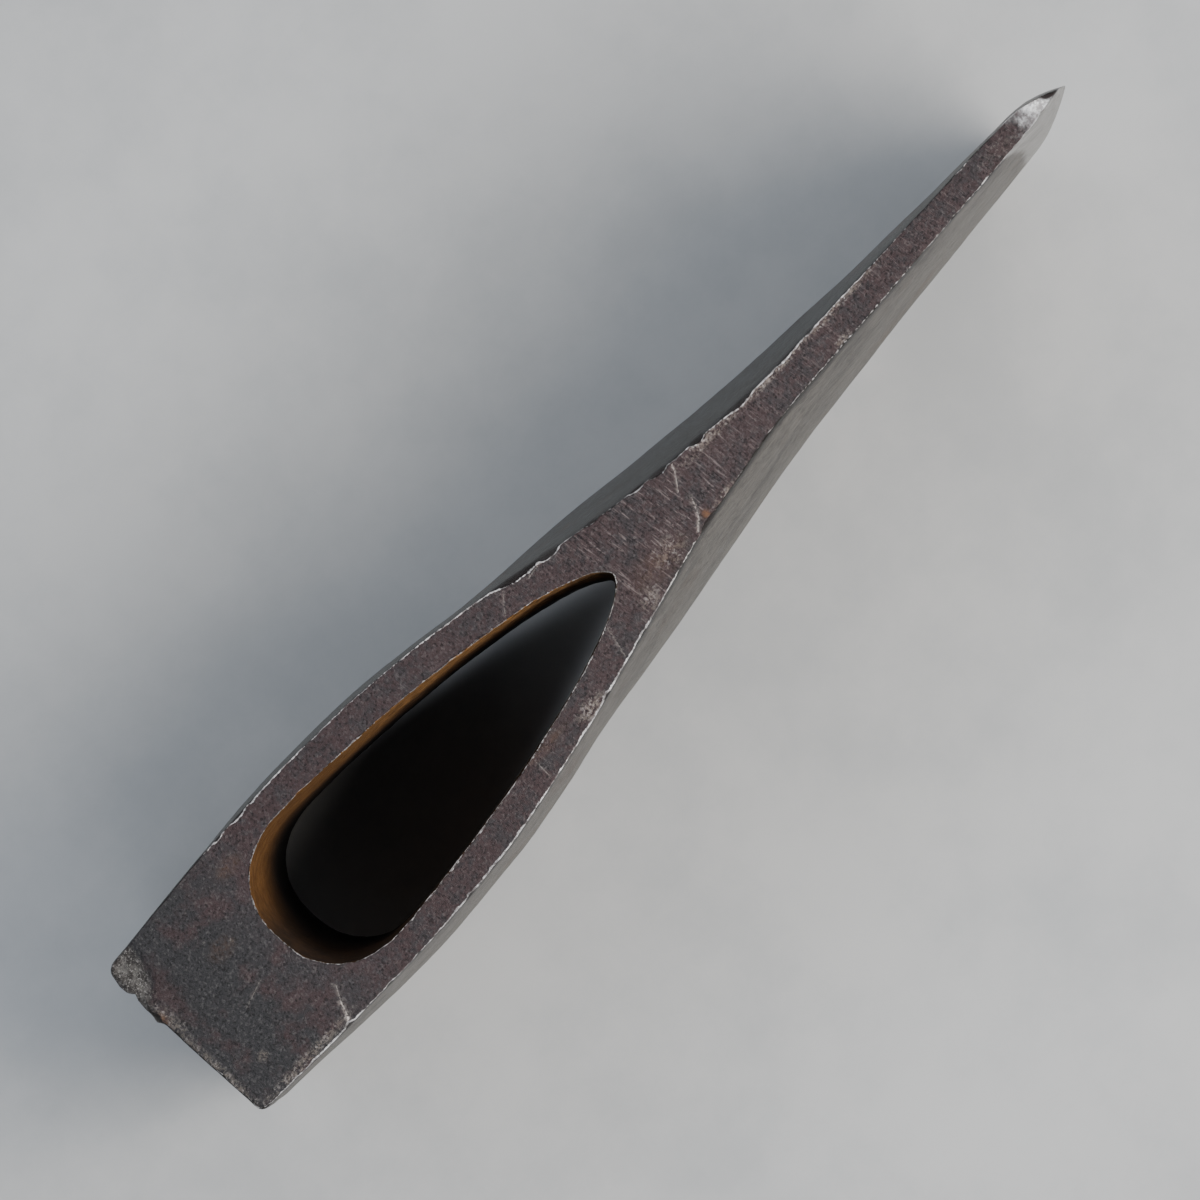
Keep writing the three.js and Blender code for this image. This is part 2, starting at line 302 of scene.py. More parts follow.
def curve_through(pairs):
    """A smooth curve through (place, value) pairs that makes no bumps of its own between them."""
    places, values = (np.array(column, float) for column in zip(*sorted(pairs)))
    slopes = np.diff(values) / np.diff(places)
    tangents = np.empty(len(places))
    tangents[0] = slopes[0]
    tangents[-1] = slopes[-1]
    for i, (before, after) in enumerate(zip(slopes, slopes[1:]), start=1):
        tangents[i] = 0 if before * after <= 0 else 2 * before * after / (before + after)

    def value_at(x):
        i = np.clip(np.searchsorted(places, x) - 1, 0, len(places) - 2)
        span = places[i + 1] - places[i]
        t = np.clip((x - places[i]) / span, 0, 1)
        bend = t * (1 - t) * span
        straight = mix(values[i], values[i + 1], smooth(t))
        return straight + bend * ((1 - t) * tangents[i] - t * tangents[i + 1])

    return value_at


def arc_off(x, span, rise):
    """How far an arc that leaves a straight line has moved off it, if it moves rise over span."""
    radius = (span * span + rise * rise) / (2 * rise)
    along = np.clip(x, 0, None)
    return radius - np.sqrt(radius * radius - along * along)


def eye_half(x):
    forward = x > EYE_WIDEST
    reach = EYE_NOSE - EYE_WIDEST if forward else EYE_BACK
    share = min(1, abs(x - EYE_WIDEST) / reach)
    power, root = (NOSE_POWER, NOSE_ROOT) if forward else (BACK_POWER, BACK_ROOT)
    return EYE_WIDTH / 2 * (1 - share**power) ** root


def beside_eye(share, swell):
    at = mix(EYE_WIDEST, EYE_NOSE, share)
    gain = EYE_WALL_GAIN * smooth(min(1, share / EYE_SHARES[1]))
    return at, eye_half(at) + EYE_WALL + gain + swell


face_half = curve_through(
    [(0, POLL_WIDTH / 2)]
    + [beside_eye(share, 0) for share in EYE_SHARES]
    + [(HEAD_LENGTH - behind, halves[0]) for behind, halves in BLADE_STATIONS.items()]
)
mid_half = curve_through(
    [(0, POLL_WIDTH / 2 + POLL_SWELL)]
    + [beside_eye(share, EYE_SWELL) for share in EYE_SHARES]
    + [(HEAD_LENGTH - behind, halves[1]) for behind, halves in BLADE_STATIONS.items()]
)

BIT_TOP = TOE_RISE
BIT_FOOT = -POLL_HEIGHT - HEEL_DROP
BIT_MIDDLE = (BIT_TOP + BIT_FOOT) / 2


def edge_at(z):
    return HEAD_LENGTH - BIT_RADIUS + np.sqrt(BIT_RADIUS**2 - (z - BIT_MIDDLE) ** 2)


TOE_AT = edge_at(BIT_TOP - TOE_RADIUS)
HEEL_AT = edge_at(BIT_FOOT + HEEL_RADIUS)


def corner_turn(x, corner_at, radius):
    along = np.clip(x - (corner_at - radius), 0, radius)
    return radius - np.sqrt(radius * radius - along * along)


def cheek(station, level, side):
    """Points of a cheek. Station is the distance from the poll, level 0 the top and 1 the bottom."""
    follow = smooth(np.clip((station - EYE_NOSE) / (HEAD_LENGTH - EYE_NOSE), 0, 1))
    bit_z = mix(BIT_TOP - TOE_RADIUS, BIT_FOOT + HEEL_RADIUS, level)
    guess = station - follow * (HEAD_LENGTH - edge_at(bit_z))
    top = arc_off(guess - (TOE_AT - TOE_SWEEP), TOE_SWEEP, TOE_RISE)
    bottom = -POLL_HEIGHT - arc_off(guess - (HEEL_AT - HEEL_SWEEP), HEEL_SWEEP, HEEL_DROP)
    z = mix(top, bottom, level)
    z = z - corner_turn(guess, TOE_AT, TOE_RADIUS) * (1 - level) ** CORNER_HOLD
    z = z + corner_turn(guess, HEEL_AT, HEEL_RADIUS) * level**CORNER_HOLD
    x = guess + follow * (edge_at(z) - edge_at(bit_z))
    fullness = 1 - (1 - 2 * level) ** 2
    bevel = 1 - (1 - np.clip((HEAD_LENGTH - station) / BEVEL_BACK, 0, 1)) ** 2
    half = mix(face_half(station), mid_half(station), fullness) * bevel
    inside = POLL_CORNER - np.minimum(POLL_CORNER, station)
    half = half - (POLL_CORNER - np.sqrt(POLL_CORNER**2 - inside**2))
    lean = BLADE_LEAN * (1 - 2 * level) * np.clip((station - EYE_NOSE) / WEB_BACK, 0, 1) * bevel
    return np.stack([x, side * half + lean, z], axis=-1)


# How finely the surface is drawn, in millimetres: along the rims, at these depths below them, and
# over the open faces
RIM_STEP = 0.5
RIM_DEPTHS = (0, 0.13, 0.28, 0.46, 0.7, 1, 1.4, 1.95, 2.7, 3.7)
FOOT_DEPTHS = (0, 0.3, 0.8, 1.8)
CHEEK_ROWS = 44
EYE_ROWS = 18
TOP_SPACING = 0.62
FOOT_SPACING = 2.2

# Wear of the rims: each was rounded by use, and nicked here and there
RIM_ROUND = 0.12
FOOT_ROUND = 0.45
NICK_DEPTH = 0.1
NICK_WAVES = ((5, 0.3), (1.7, 0.4), (0.8, 0.6))  # the length of each, and its share of the depth
POLL_ROUND = 0.6  # the poll's own rim is rounder, from blows
POLL_RIM_REACH = 3
POLL_NICKS = 2.4  # and nicked deeper by this
POLL_SHINE = (0.3, 1)  # how bright the poll's rim is worn, from one side to the other
EYE_ROUND = 0.132
EYE_NICKS = 0.9
ROUND_LEAST = 0.06
ROUND_MOST = 0.4  # of the face's half width
LOSS_MOST = 0.45
NICK_DROP = 0.35  # how far down a wall a nick reaches, and how much more for a deeper one
NICK_DROP_GAIN = 2
BITE_LENGTH = 1.7  # sharper bites, where the noise passes a limit
BITE_LIMIT = 0.45
BITE_GAIN = 2.2
UPRIGHT_WEAR = 0.4  # the poll's upright edges are worn wider than the rims, by one over this

# How much of each rim of the top face is worn bright, from the poll to the toe, on either side
RIM_SHINE = {
    1: (
        (0, 0.15), (16, 0.35), (22, 0.85), (36, 1.05), (60, 0.95), (84, 1), (112, 0.95), (128, 1.12),
        (146, 1), (156, 0.85), (174, 0.8), (184, 0.6), (186.5, 0.05), (189, 0),
    ),
    -1: (
        (0, 0.9), (16, 1.2), (24, 0.95), (44, 1.1), (80, 1.15), (100, 0.95), (110, 0.6), (126, 0.85),
        (160, 0.88), (182, 0.9), (187, 0.5), (189, 0.1),
    ),
}
EYE_SHINE = 0.95

# Flakes lost from the rims of the top face: the place along the head, the side, the length, how far
# each reaches in over the face, and how far it runs down the cheek
FLAKES = (
    (81, 1, 7.8, 0.75, 1.6),
    (86.3, 1, 3.6, 0.85, 2.4),
    (93.8, 1, 2.2, 0.3, 0.8),
    (101.6, 1, 2.6, 0.3, 0.8),
    (105.4, 1, 3, 0.5, 1.6),
    (112.6, 1, 2.6, 0.5, 1.4),
    (120.4, 1, 5.2, 0.4, 1.6),
    (129.5, 1, 3.2, 0.25, 0.8),
    (24.6, 1, 1.6, 0.3, 0.6),
    (28.8, 1, 3, 0.3, 0.7),
    (31.8, 1, 1.2, 0.25, 0.6),
    (105.2, -1, 3.4, 0.45, 1.2),
    (77.2, -1, 1.5, 0.35, 0.8),
    (48, -1, 1.4, 0.2, 0.7),
    (43, -1, 1.2, 0.3, 0.8),
    (17.8, -1, 1.4, 0.4, 1),
)

# Scratches on the top face, each from one point to another: their half width, how bright they are
# and how deep
SCRATCHES = (
    ((107.9, 5), (107.2, 3.4), 0.1, 0.6, 0.06),
    ((107.2, 3.4), (105.4, 1.1), 0.1, 0.4, 0.06),
    ((106.1, -0.8), (105.5, -2.2), 0.09, 0.4, 0.06),
    ((105.5, -2.2), (104.6, -3.6), 0.13, 0.55, 0.1),
    ((104.6, -3.6), (103.2, -4.8), 0.16, 0.5, 0.12),
    ((20.6, -10.6), (19.3, -12.8), 0.08, 0.4, 0.05),
    ((19.3, -12.8), (18.6, -14.6), 0.13, 0.8, 0.08),
    ((18.6, -14.6), (17.6, -16.1), 0.26, 1, 0.12),
    ((84.3, -4.6), (83.1, -9.2), 0.1, 0.22, 0.04),
    ((9.8, -3.3), (13.8, -2.1), 0.08, 0.2, 0.02),
    ((78, 9.9), (75.8, 7.4), 0.08, 0.2, 0.03),
    ((63.4, -9.8), (63.2, -13), 0.07, 0.25, 0.02),
    ((82, 8.5), (84.8, 8.8), 0.07, 0.35, 0.04),
    ((111, 3.9), (113.6, 3.3), 0.12, 0.6, 0.05),
)
SCRATCH_STEP = 0.3

# Places on the top face where the dark skin has worn pale, rusted, or stayed darkest; the last list
# also holds painted shade, on the toe's bevel, which faces away from the light, and beside the
# poll's rounded rim: the middle, the two half sizes and how strong
PALE_PLACES = (
    (74.4, -10.6, 2.4, 1.2, 0.8),
    (98.2, -3.8, 2.4, 1.7, 0.5),
    (91.6, -6.4, 1.8, 1.6, 0.5),
    (110.2, -4.2, 2.6, 0.7, 0.9),
    (137.2, -1.5, 1.3, 0.5, 0.8),
    (6.2, -9.7, 0.7, 0.6, 0.8),
    (12.2, 7.6, 0.22, 0.22, 1),
    (15.3, 4.6, 0.2, 0.2, 0.8),
    (10, -14.6, 9, 0.7, 0.6),
    (115, 3.2, 6, 0.8, 0.7),
    (128, 2.7, 7, 0.6, 1),
    (140, 2.4, 7, 0.5, 0.9),
    (172, 0.4, 4, 1, 0.15),
    (0.3, -7, 0.8, 8, 0.6),
    (0.6, 3.4, 1.3, 3.4, 0.5),
)
RUSTY_PLACES = (
    (105.8, -3.8, 0.6, 0.7, 1),
    (96, -3.8, 5, 2, 0.2),
    (13.4, 4.9, 2, 1.4, 0.2),
    (22.5, 12.2, 2.2, 1, 0.3),
    (0.2, 4.4, 0.8, 1, 0.7),
    (66, -9.5, 4, 0.8, 0.25),
)
DARK_PLACES = (
    (84, 9.9, 2.2, 0.7, 0.7),
    (107.4, -4.6, 0.4, 0.4, 1),
    (122, 4, 3, 0.7, 0.6),
    # painted shade: the toe's bevel, which faces away from the light
    (182.8, 0.9, 1.6, 0.9, 1.3),
    # painted shade beside the poll's rounded rim
    (4.6, 6, 1.4, 6, 0.3),
)
DARK_DEPTH = 2.2  # how far down the cheeks those reach


def wobble(places, length, seed):
    """Smooth noise from about -1 to 1 along a line, with waves of that length."""
    return np.array([noise.noise(Vector((p / length, seed, 0.5))) * 1.6 for p in places])


def nicked(places, seed):
    """How far a rim is nicked at each place along it."""
    depth = sum(wobble(places, length, seed + length) * share for length, share in NICK_WAVES)
    bites = np.clip(wobble(places, BITE_LENGTH, seed + 11) - BITE_LIMIT, 0, None) * BITE_GAIN
    return NICK_DEPTH * (np.clip(depth + 0.2, 0, None) + bites)


def rounded(distance, radius):
    """A point at that distance from a rim, slid on to the rim's rounding: its new distance, and
    how far it has left its own face."""
    turn = math.pi / 4 * (1 - np.clip(distance / radius, 0, 1))
    near = distance < radius
    return (
        np.where(near, radius * (1 - np.sin(turn)), distance),
        np.where(near, radius * (1 - np.cos(turn)), 0),
    )


# The outer rim as one loop of stations: from the edge back along one cheek, over the poll, and
# forward along the other cheek
along = np.concatenate(
    [
        POLL_CORNER * (1 - np.cos(np.linspace(0, math.pi / 2, 5)[:-1])),
        np.linspace(POLL_CORNER, HEAD_LENGTH - BEVEL_BACK, int(HEAD_LENGTH / RIM_STEP))[:-1],
        HEAD_LENGTH - BEVEL_BACK * (1 - np.linspace(0, 1, 24, endpoint=False)) ** 1.5,
    ]
)
across = np.linspace(0, 1, int(POLL_WIDTH / RIM_STEP) + 1)[1:-1]
station = np.concatenate([[HEAD_LENGTH], along[::-1], np.zeros(len(across)), along])
side = np.concatenate([np.ones(1 + len(along)), np.ones(len(across)), -np.ones(len(along))])
poll_share = np.concatenate([np.zeros(1 + len(along)), across, np.zeros(len(along))])
on_poll = poll_share > 0


def outer_loop(level):
    points = cheek(station, level, side)
    points[on_poll, 1] = points[on_poll, 1] * (1 - 2 * poll_share[on_poll])
    return points


def inward(points):
    """Level directions that point into the loop, which runs anticlockwise seen from above."""
    ahead = np.roll(points, -1, axis=0)[:, :2] - np.roll(points, 1, axis=0)[:, :2]
    normal = np.stack([-ahead[:, 1], ahead[:, 0]], axis=-1)
    return normal / np.maximum(np.linalg.norm(normal, axis=1, keepdims=True), 1e-9)


def run_of(points):
    """The distance along a loop to each of its points."""
    steps = np.linalg.norm(np.roll(points, -1, axis=0) - points, axis=1)
    return np.concatenate([[0], np.cumsum(steps)[:-1]])


def eye_outline(turns, waist):
    sine, cosine = np.sin(turns), np.cos(turns)
    forward = sine >= 0
    reach = np.where(forward, EYE_NOSE - EYE_WIDEST, EYE_BACK) - waist
    power = 2 / np.where(forward, NOSE_POWER, BACK_POWER)
    root = 2 * np.where(forward, NOSE_ROOT, BACK_ROOT)
    x = EYE_WIDEST + np.sign(sine) * reach * np.abs(sine) ** power
    y = np.sign(cosine) * (EYE_WIDTH / 2 - waist) * np.abs(cosine) ** root
    return np.stack([x, y], axis=-1)


# Even steps round the eye
dense = np.linspace(0, 2 * math.pi, 6001)
dense_steps = np.linalg.norm(np.diff(eye_outline(dense, 0), axis=0), axis=1)
dense_run = np.concatenate([[0], np.cumsum(dense_steps)])
eye_count = int(dense_run[-1] / RIM_STEP)
eye_turns = np.interp(np.arange(eye_count) * dense_run[-1] / eye_count, dense_run, dense)

# The two rims of the top face, with their wear
rim = outer_loop(np.zeros(len(station)))
foot = outer_loop(np.ones(len(station)))
rim_in = inward(rim)
rim_run = run_of(rim)
half_here = np.maximum(np.abs(rim[:, 1]), 0.2)
by_poll = smooth(np.clip(1 - station / POLL_RIM_REACH, 0, 1))
rim_round = mix(RIM_ROUND, POLL_ROUND, by_poll) * (1 + 0.5 * wobble(rim_run, 3.5, 2))
rim_round = np.clip(rim_round, ROUND_LEAST, half_here * ROUND_MOST)
rim_loss = nicked(rim_run, 3) * mix(1, POLL_NICKS, by_poll)
rim_loss_depth = NICK_DROP + rim_loss * NICK_DROP_GAIN
flaked = np.zeros(len(station))
for at, flake_side, length, reach, depth in FLAKES:
    share = np.clip(1 - ((rim[:, 0] - at) / (length / 2)) ** 2, 0, 1) * (side == flake_side) * ~on_poll
    ragged = np.clip(share**0.6 + 0.14 * share * wobble(rim_run, 1.1, at), 0, None)
    rim_loss = np.maximum(rim_loss, reach * ragged)
    rim_loss_depth = np.where(share > 0, np.maximum(rim_loss_depth, depth * share**0.4), rim_loss_depth)
    flaked = np.maximum(flaked, share)
rim_loss = np.minimum(rim_loss, half_here * LOSS_MOST)
shine = np.empty(len(station))
for shine_side, shares in RIM_SHINE.items():
    here = side == shine_side
    shine[here] = np.interp(station[here], *np.array(shares).T)
shine[on_poll] = mix(*POLL_SHINE, poll_share[on_poll])
upright_gap = np.where(on_poll, np.minimum(poll_share, 1 - poll_share) * POLL_WIDTH, station)

eye_rim = np.column_stack([eye_outline(eye_turns, 0), np.zeros(eye_count)])
eye_out = inward(eye_rim)
centre = eye_rim.mean(axis=0)[:2]
if ((eye_rim[0, :2] - centre) * eye_out[0]).sum() < 0:
    eye_out = -eye_out
eye_run = run_of(eye_rim)
eye_round = np.clip(EYE_ROUND * (1 + 0.5 * wobble(eye_run, 3, 5)), 0.08, None)
eye_loss = nicked(eye_run, 7) * EYE_NICKS


class Skin:
    """The head's surface as it is gathered: points, faces, and values at each point."""

    def __init__(self):
        self.points = []
        self.values = []
        self.faces = []
        self.count = 0

    def add(self, points, **values):
        """Adds points and returns the numbers that faces call them by."""
        first = self.count
        self.count += len(points)
        self.points.append(points)
        spread = {name: np.broadcast_to(value, len(points)) for name, value in values.items()}
        self.values.append(spread)
        return np.arange(first, self.count)

    def gathered(self, name, otherwise):
        rows = zip(self.points, self.values)
        return np.concatenate([values.get(name, np.full(len(row), otherwise)) for row, values in rows])

    def wall(self, rows, flip):
        """Faces between closed rows of points."""
        for upper, lower in zip(rows, rows[1:]):
            quads = np.stack([upper, np.roll(upper, -1), np.roll(lower, -1), lower], axis=-1)
            self.faces.extend((quads[:, ::-1] if flip else quads).tolist())


skin = Skin()


def spread_of(points, places):
    """How strongly each point lies in any of these places."""
    strength = np.zeros(len(points))
    for x, y, long, wide, strong in places:
        gap = np.hypot((points[:, 0] - x) / long, (points[:, 1] - y) / wide)
        strength = np.maximum(strength, strong * np.clip(1.4 - gap, 0, 1))
    return strength


def worn_wall(loops, depths, rim_directions, radius, loss, loss_depth, foot_radius):
    """Rows of points down a wall from its top rim, with the wear of both of its rims."""
    rows = []
    for points, down, rise in zip(loops, depths, depths[-1] - np.array(depths)):
        slid, gone = rounded(down, radius)
        bite = loss * np.clip(1 - down / loss_depth, 0, 1) ** 1.4
        slid_up, gone_up = rounded(np.maximum(rise, 0), foot_radius)
        moved = points.copy()
        moved[:, :2] += rim_directions * (gone + gone_up + bite)[:, None]
        moved[:, 2] += down - slid + slid_up - rise
        rows.append(moved)
    return rows


height = rim[:, 2] - foot[:, 2]
depth_rows = [np.full(len(station), d) for d in RIM_DEPTHS]
spread = np.linspace(0, 1, CHEEK_ROWS + 2)[1:-1]
depth_rows += [mix(RIM_DEPTHS[-1], height - FOOT_DEPTHS[-1], share) for share in spread]
depth_rows += [height - d for d in FOOT_DEPTHS[::-1]]
outer_rows = worn_wall(
    [outer_loop(depth / height) for depth in depth_rows],
    depth_rows,
    rim_in,
    rim_round,
    rim_loss,
    rim_loss_depth,
    np.minimum(FOOT_ROUND, half_here * ROUND_MOST),
)
outer_ids = [
    skin.add(
        points,
        rim_gap=np.minimum(np.minimum(depth, height - depth), upright_gap * UPRIGHT_WEAR),
        down=depth,
        shine=shine,
        dark=spread_of(points[:, :2], DARK_PLACES) * (depth < DARK_DEPTH),
        behind=HEAD_LENGTH - station,
        # 1 on the lit cheek, 0 on the cheek painted with shade, and half on the poll
        bright_cheek=np.where(on_poll, 0.5, np.where(side < 0, 1.0, 0.0)),
        flaked=flaked * np.clip(1 - depth / np.maximum(rim_loss_depth, 0.1), 0, 1) ** 0.3,
    )
    for points, depth in zip(outer_rows, depth_rows)
]
skin.wall(outer_ids, flip=True)

eye_depth_rows = [np.full(eye_count, d) for d in RIM_DEPTHS]
eye_spread = np.linspace(0, 1, EYE_ROWS + 2)[1:-1]
eye_middle = mix(RIM_DEPTHS[-1], POLL_HEIGHT - FOOT_DEPTHS[-1], eye_spread)
eye_depth_rows += [np.full(eye_count, d) for d in eye_middle]
eye_depth_rows += [np.full(eye_count, POLL_HEIGHT - d) for d in FOOT_DEPTHS[::-1]]
eye_loops = []
for depth in eye_depth_rows:
    share = depth[0] / POLL_HEIGHT
    waist = EYE_WAIST * (1 - (1 - 2 * share) ** 2)
    eye_loops.append(np.column_stack([eye_outline(eye_turns, waist), -depth]))
eye_rows = worn_wall(
    eye_loops,
    eye_depth_rows,
    eye_out,
    eye_round,
    eye_loss,
    NICK_DROP + eye_loss * NICK_DROP_GAIN,
    FOOT_ROUND,
)
eye_ids = [
    skin.add(
        points,
        rim_gap=np.minimum(depth, POLL_HEIGHT - depth),
        down=depth,
        inside=1.0,
        shine=EYE_SHINE,
    )
    for points, depth in zip(eye_rows, eye_depth_rows)
]
skin.wall(eye_ids, flip=True)


def nearest(points, targets):
    """For each point, the nearest target and its distance."""
    found = np.empty(len(points), int)
    gap = np.empty(len(points))
    for start in range(0, len(points), 2000):
        block = points[start : start + 2000]
        far = np.linalg.norm(block[:, None, :] - targets[None, :, :], axis=2)
        found[start : start + 2000] = far.argmin(axis=1)
        gap[start : start + 2000] = far.min(axis=1)
    return found, gap


def within(points, loop):
    """Which points lie inside a closed loop, found by counting the sides crossed on the way out."""
    inside_loop = np.zeros(len(points), bool)
    for (x0, y0), (x1, y1) in zip(loop, np.roll(loop, -1, axis=0)):
        if y0 == y1:
            continue
        spans = (points[:, 1] > min(y0, y1)) & (points[:, 1] <= max(y0, y1))
        crossing = x0 + (points[:, 1] - y0) * (x1 - x0) / (y1 - y0)
        inside_loop ^= spans & (points[:, 0] < crossing)
    return inside_loop


def face_points(outer, outer_in, eye, rings, spacing, extra):
    """Points of a narrow face, seen in plan: its two rims, rings beside them and a grid between."""
    rims = np.vstack([outer, eye])
    inner = []
    for ring in rings:
        candidates = np.vstack([outer + outer_in * ring, eye + eye_out * ring])
        clear = nearest(candidates, rims)[1] > ring * 0.86
        inner.append(candidates[clear])
    low, high = outer.min(axis=0), outer.max(axis=0)
    columns = np.arange(low[0], high[0], spacing)
    lines = np.arange(low[1], high[1], spacing * math.sqrt(0.75))
    grid_x, grid_y = np.meshgrid(columns, lines)
    grid_x = grid_x + (np.arange(len(lines)) % 2)[:, None] * spacing / 2
    grid = np.column_stack([grid_x.ravel(), grid_y.ravel()])
    grid = grid[within(grid, outer) & ~within(grid, eye)]
    inner.append(grid[nearest(grid, rims)[1] > rings[-1] + spacing * 0.6])
    inner.extend(extra)
    return rims, np.vstack(inner)


def beyond(points, start, end):
    """The distance of points from a straight scratch, seen in plan."""
    start, way = np.array(start), np.array(end) - np.array(start)
    share = np.clip(((points - start) @ way) / (way @ way), 0, 1)
    return np.linalg.norm(points - start - share[:, None] * way, axis=1)


def scratch_points(outer, eye):
    """Points along the scratches and beside them, so that the face is fine enough to show them."""
    found = []
    for start, end, width, _, _ in SCRATCHES:
        way = np.array(end) - np.array(start)
        count = int(np.linalg.norm(way) / SCRATCH_STEP) + 1
        aside = np.array([-way[1], way[0]]) / np.linalg.norm(way)
        for offset in (-1, 0, 1):
            shares = np.linspace(0, 1, count)[:, None]
            found.append(np.array(start) + shares * way + aside * width * offset)
    found = np.vstack(found)
    return found[within(found, outer) & (nearest(found, outer)[1] > 0.3) & ~within(found, eye)]


def narrow_face(outer, outer_in, eye, outer_ids, eye_ids, rings, spacing, upwards, finish_points):
    """Fills a narrow face between its rims with triangles."""
    extra = [scratch_points(outer, eye)] if upwards else []
    rims, inner = face_points(outer, outer_in, eye, rings, spacing, extra)
    count, hole = len(outer), len(eye)
    loops = [(i, (i + 1) % count) for i in range(count)]
    loops += [(count + i, count + (i + 1) % hole) for i in range(hole)]
    plan = [Vector(p) for p in np.vstack([rims, inner])]
    points, _, faces, origins, _, _ = delaunay_2d_cdt(plan, loops, [], 2, 1e-5)
    rim_ids = np.concatenate([outer_ids, eye_ids])
    numbers = np.full(len(points), -1)
    fresh = []
    for i, origin in enumerate(origins):
        rim_origin = [o for o in origin if o < len(rims)]
        if rim_origin:
            numbers[i] = rim_ids[min(rim_origin)]
        else:
            fresh.append(i)
    flat = np.array([points[i] for i in fresh])
    which, gap = nearest(flat, rims)
    ids = finish_points(flat, which, gap)
    numbers[fresh] = ids
    plan_points = np.array(points)
    middles = plan_points[np.array(faces)].mean(axis=1)
    for face, open_air in zip(faces, within(middles, eye)):
        named = [int(numbers[i]) for i in face]
        if not open_air:
            skin.faces.append(named if upwards else named[::-1])


# The top face: flat, rising a little to the toe
upper_side = (side > 0) & ~on_poll
top_order = np.argsort(rim[upper_side, 0])
top_x, top_z = rim[upper_side, 0][top_order], rim[upper_side, 2][top_order]
foot_x, foot_z = foot[upper_side, 0][top_order], foot[upper_side, 2][top_order]
worn_rim = rim[:, :2] + rim_in * rim_loss[:, None]
worn_eye = eye_rim[:, :2] + eye_out * eye_loss[:, None]
all_in = np.vstack([rim_in, eye_out])
all_round = np.concatenate([rim_round, eye_round])
all_shine = np.concatenate([shine, np.full(eye_count, EYE_SHINE)])


def finish_top(flat, which, gap):
    slid, gone = rounded(gap, all_round[which])
    moved = flat + all_in[which] * (slid - gap)[:, None]
    z = np.interp(flat[:, 0], top_x, top_z) - gone
    scratched = np.zeros(len(flat))
    for start, end, width, bright, depth in SCRATCHES:
        share = np.clip(1.25 - beyond(flat, start, end) / width, 0, 1)
        z = z - depth * share
        scratched = np.maximum(scratched, bright * share)
    return skin.add(
        np.column_stack([moved, z]),
        rim_gap=gap,
        down=0.0,
        shine=all_shine[which],
        behind=HEAD_LENGTH - flat[:, 0],
        on_face=1.0,
        scratched=scratched,
        pale=spread_of(flat, PALE_PLACES),
        rusty=spread_of(flat, RUSTY_PLACES),
        dark=spread_of(flat, DARK_PLACES),
    )


narrow_face(
    worn_rim, rim_in, worn_eye, outer_ids[0], eye_ids[0], RIM_DEPTHS[1:], TOP_SPACING, True, finish_top
)

# The bottom face, which sweeps down to the heel
foot_in = inward(foot)
foot_all_in = np.vstack([foot_in, eye_out])


def finish_foot(flat, which, gap):
    slid, gone = rounded(gap, FOOT_ROUND)
    moved = flat + foot_all_in[which] * (slid - gap)[:, None]
    z = np.interp(flat[:, 0], foot_x, foot_z) + gone
    return skin.add(
        np.column_stack([moved, z]),
        rim_gap=gap,
        down=POLL_HEIGHT,
        behind=HEAD_LENGTH - flat[:, 0],
        on_face=1.0,
    )


narrow_face(
    foot[:, :2],
    foot_in,
    eye_rim[:, :2],
    outer_ids[-1],
    eye_ids[-1],
    FOOT_DEPTHS[1:],
    FOOT_SPACING,
    False,
    finish_foot,
)

# The battered corner of the poll: the blows crushed it down and pushed a lip out over the face
CRUSH_LENGTH = 5.2
CRUSH_WIDTH = 8.5
CRUSH_DEPTH = 1.5
CRUSH_DROP = 6  # how far down the crushing reaches
LIP_DEPTH = 2.6
LIP_REACH = 3
LIP_FOOT = -5  # the height where the lip stops being battered
LIPS = (  # the place across the poll, the half width and how far out of the poll face
    (11.8, 2.4, 0.75),
    (6.9, 1.9, 0.6),
    (4.7, 0.8, 0.6),
    (9.7, 0.45, -0.55),
)
CRUMPLE = 0.22
LUMP_SIZE = 1.1
CRUMB_SIZE = 0.45

points = np.vstack(skin.points)
x, y, z = points.T
crush = np.clip(1 - (x / CRUSH_LENGTH) ** 2 - ((y - POLL_WIDTH / 2) / CRUSH_WIDTH) ** 2, 0, 1)
crush = crush**0.8 * np.clip(1 + z / CRUSH_DROP, 0, 1)
near_poll = np.clip(1 - x / LIP_REACH, 0, 1) * np.exp(-(((z + LIP_DEPTH) / LIP_DEPTH) ** 2))
lip = sum(out * np.exp(-(((y - at) / width) ** 2)) for at, width, out in LIPS) * near_poll
battered = np.clip(crush * 1.6 + np.abs(lip) * (z > LIP_FOOT), 0, 1)
crumpled = np.zeros(len(points))
for i in np.flatnonzero(battered > 0.02):
    lumps = noise.noise(Vector(points[i] / LUMP_SIZE))
    crumpled[i] = lumps + 0.5 * noise.noise(Vector(points[i] / CRUMB_SIZE))
points[:, 2] -= CRUSH_DEPTH * crush - CRUMPLE * crumpled * battered
points[:, 0] -= lip

# Into the scene's frame
axes = np.array([HEAD_X, HEAD_Y, HEAD_Z])
turned = points @ axes * MM + np.array(HEAD_PLACE)
mesh = bpy.data.meshes.new("forged_shape")
mesh.from_pydata(turned.tolist(), [], skin.faces)
surface_values = {
    "rim_gap": skin.gathered("rim_gap", 5.0),  # distance from the nearest worn rim
    "down": skin.gathered("down", 0.0),  # depth below the top face
    "behind": skin.gathered("behind", 150.0),  # distance behind the cutting edge
    "along": x,  # distance from the poll
    "sideways": y,
    "on_face": skin.gathered("on_face", 0.0),
    "inside": skin.gathered("inside", 0.0),
    "bright_cheek": skin.gathered("bright_cheek", 0.0),
    "flaked": skin.gathered("flaked", 0.0),
    "scratched": skin.gathered("scratched", 0.0),
    "pale": skin.gathered("pale", 0.0),
    "rusty": skin.gathered("rusty", 0.0),
    "dark": skin.gathered("dark", 0.0),
    "shine": skin.gathered("shine", 0.5),
    "battered": battered,
}
